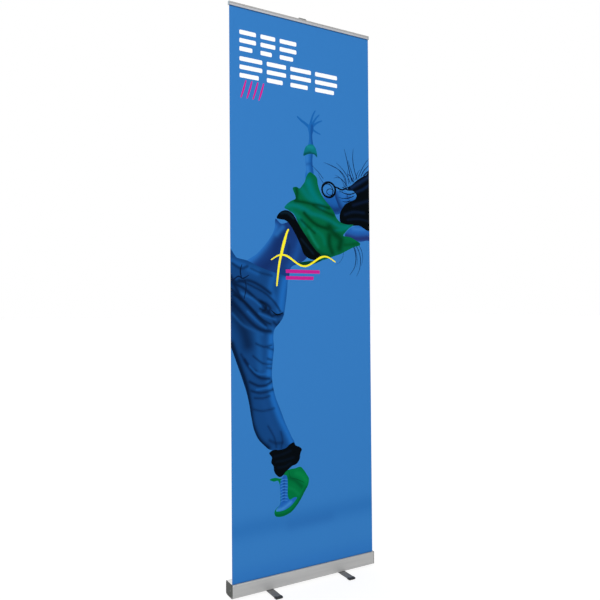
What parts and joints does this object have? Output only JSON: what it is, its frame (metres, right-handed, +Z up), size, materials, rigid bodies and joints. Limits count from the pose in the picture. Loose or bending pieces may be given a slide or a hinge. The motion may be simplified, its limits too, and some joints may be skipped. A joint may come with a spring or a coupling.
{
  "type": "roll-up banner stand",
  "caption": "Roll-up banner stand: spring roller casing on swivelling feet, a telescopic mast that leans back a little, and a snap rail holding a tall printed film.",
  "frame": {"origin": "on the floor, under the middle of the casing and midway between the tips of the feet", "axes": "+Z up, +X to the right of someone reading the banner, +Y away from the reader"},
  "size_m": [0.93, 0.288, 3.2109],
  "materials": {
    "anodised_aluminium": "satin anodised extrusion",
    "rail_aluminium": "bright satin extrusion",
    "dark_grey_plastic": "fine moulded texture",
    "black_plastic": "moulded, slight gloss",
    "pale_grey_plastic": "moulded",
    "foot_grey_paint": "grey powder coat",
    "zinc_steel": "zinc plated",
    "black_rubber": "matte",
    "banner_film": "satin printed film",
    "slot_pile": "short pile strip"
  },
  "bodies": {
    "base": {"base_housing": "anodised_aluminium", "front_cover": "anodised_aluminium", "end_cap_left": "dark_grey_plastic", "end_cap_right": "dark_grey_plastic", "end_cap_screw_left_1": "zinc_steel", "end_cap_screw_left_2": "zinc_steel", "end_cap_screw_left_3": "zinc_steel", "end_cap_screw_right_1": "zinc_steel", "end_cap_screw_right_2": "zinc_steel", "end_cap_screw_right_3": "zinc_steel", "slot_pile_front": "slot_pile", "slot_pile_rear": "slot_pile", "spring_arbor": "zinc_steel", "idler_pin": "zinc_steel", "torsion_spring": "zinc_steel", "foot_washer_left": "black_plastic", "foot_washer_right": "black_plastic", "foot_bolt_left": "zinc_steel", "foot_bolt_right": "zinc_steel", "foot_nut_plate_left": "zinc_steel", "foot_nut_plate_right": "zinc_steel", "mast_socket": "black_plastic", "socket_screw_1": "zinc_steel", "socket_screw_2": "zinc_steel", "mast_section_1": "anodised_aluminium", "mast_plug_1": "black_plastic", "banner_lower": "banner_film"},
    "left_foot": {"foot_bar_left": "foot_grey_paint", "foot_tip_left_front": "black_plastic", "foot_tip_left_rear": "black_plastic", "foot_pad_left_front": "black_rubber", "foot_pad_left_rear": "black_rubber"},
    "right_foot": {"foot_bar_right": "foot_grey_paint", "foot_tip_right_front": "black_plastic", "foot_tip_right_rear": "black_plastic", "foot_pad_right_front": "black_rubber", "foot_pad_right_rear": "black_rubber"},
    "roller": {"roller_tube": "anodised_aluminium", "banner_roll": "banner_film", "roller_bush_left": "black_plastic", "roller_bush_right": "black_plastic", "spring_drive_plug": "black_plastic"},
    "mast_2": {"mast_section_2": "anodised_aluminium", "mast_plug_2": "black_plastic"},
    "mast_3": {"mast_section_3": "anodised_aluminium", "mast_plug_3": "black_plastic"},
    "mast_4": {"mast_section_4": "anodised_aluminium", "mast_plug_4": "black_plastic", "mast_hook": "dark_grey_plastic", "hook_screw": "zinc_steel", "banner_upper": "banner_film"},
    "lock_1": {"lock_collar_1": "black_plastic"},
    "lock_2": {"lock_collar_2": "black_plastic"},
    "lock_3": {"lock_collar_3": "black_plastic"},
    "rail": {"top_rail": "rail_aluminium", "rail_cap_left": "pale_grey_plastic", "rail_cap_right": "pale_grey_plastic"},
    "rail_jaw": {"rail_front_jaw": "rail_aluminium"}
  },
  "joints": [
    {"name": "left_foot_swivel", "type": "hinge", "parent": "base", "child": "left_foot", "pos_m": [-0.2355, 0, 0.007], "axis": [0, 0, 1], "range_deg": [0, 90]},
    {"name": "right_foot_swivel", "type": "hinge", "parent": "base", "child": "right_foot", "pos_m": [0.2355, 0, 0.007], "axis": [0, 0, 1], "range_deg": [-90, 0]},
    {"name": "mast_slide_2", "type": "slide", "parent": "base", "child": "mast_2", "axis": [0, 0.014, 0.9999], "range_m": [-0.734, 0], "deforming": ["banner_lower"]},
    {"name": "mast_slide_3", "type": "slide", "parent": "mast_2", "child": "mast_3", "axis": [0, 0.014, 0.9999], "range_m": [-0.734, 0]},
    {"name": "mast_slide_4", "type": "slide", "parent": "mast_3", "child": "mast_4", "axis": [0, 0.014, 0.9999], "range_m": [-0.734, 0]},
    {"name": "roller_spin", "type": "hinge", "parent": "base", "child": "roller", "pos_m": [0, -0.0133, 0.047], "axis": [1, 0, 0], "range_deg": [0, 6850]},
    {"name": "lock_collar_turn_1", "type": "hinge", "parent": "base", "child": "lock_1", "pos_m": [0, 0.035, 0.85942], "axis": [0, 0.014, 0.9999], "range_deg": [0, 120]},
    {"name": "lock_collar_turn_2", "type": "hinge", "parent": "mast_2", "child": "lock_2", "pos_m": [0, 0.04578, 1.63134], "axis": [0, 0.014, 0.9999], "range_deg": [0, 120]},
    {"name": "lock_collar_turn_3", "type": "hinge", "parent": "mast_3", "child": "lock_3", "pos_m": [0, 0.05656, 2.40327], "axis": [0, 0.014, 0.9999], "range_deg": [0, 120]},
    {"name": "rail_lift", "type": "slide", "parent": "mast_4", "child": "rail", "axis": [0, 0.014, 0.9999], "range_m": [0, 0.0145]},
    {"name": "rail_jaw_open", "type": "hinge", "parent": "rail", "child": "rail_jaw", "pos_m": [0, 0.00977, 3.1921], "axis": [-1, 0, 0], "range_deg": [0, 60]}
  ],
  "couplings": [
    {"joint": "mast_slide_3", "follows": "mast_slide_2", "ratio": 1},
    {"joint": "mast_slide_4", "follows": "mast_slide_2", "ratio": 1},
    {"joint": "roller_spin", "follows": "mast_slide_2", "rad_per_m": -162.7}
  ]
}
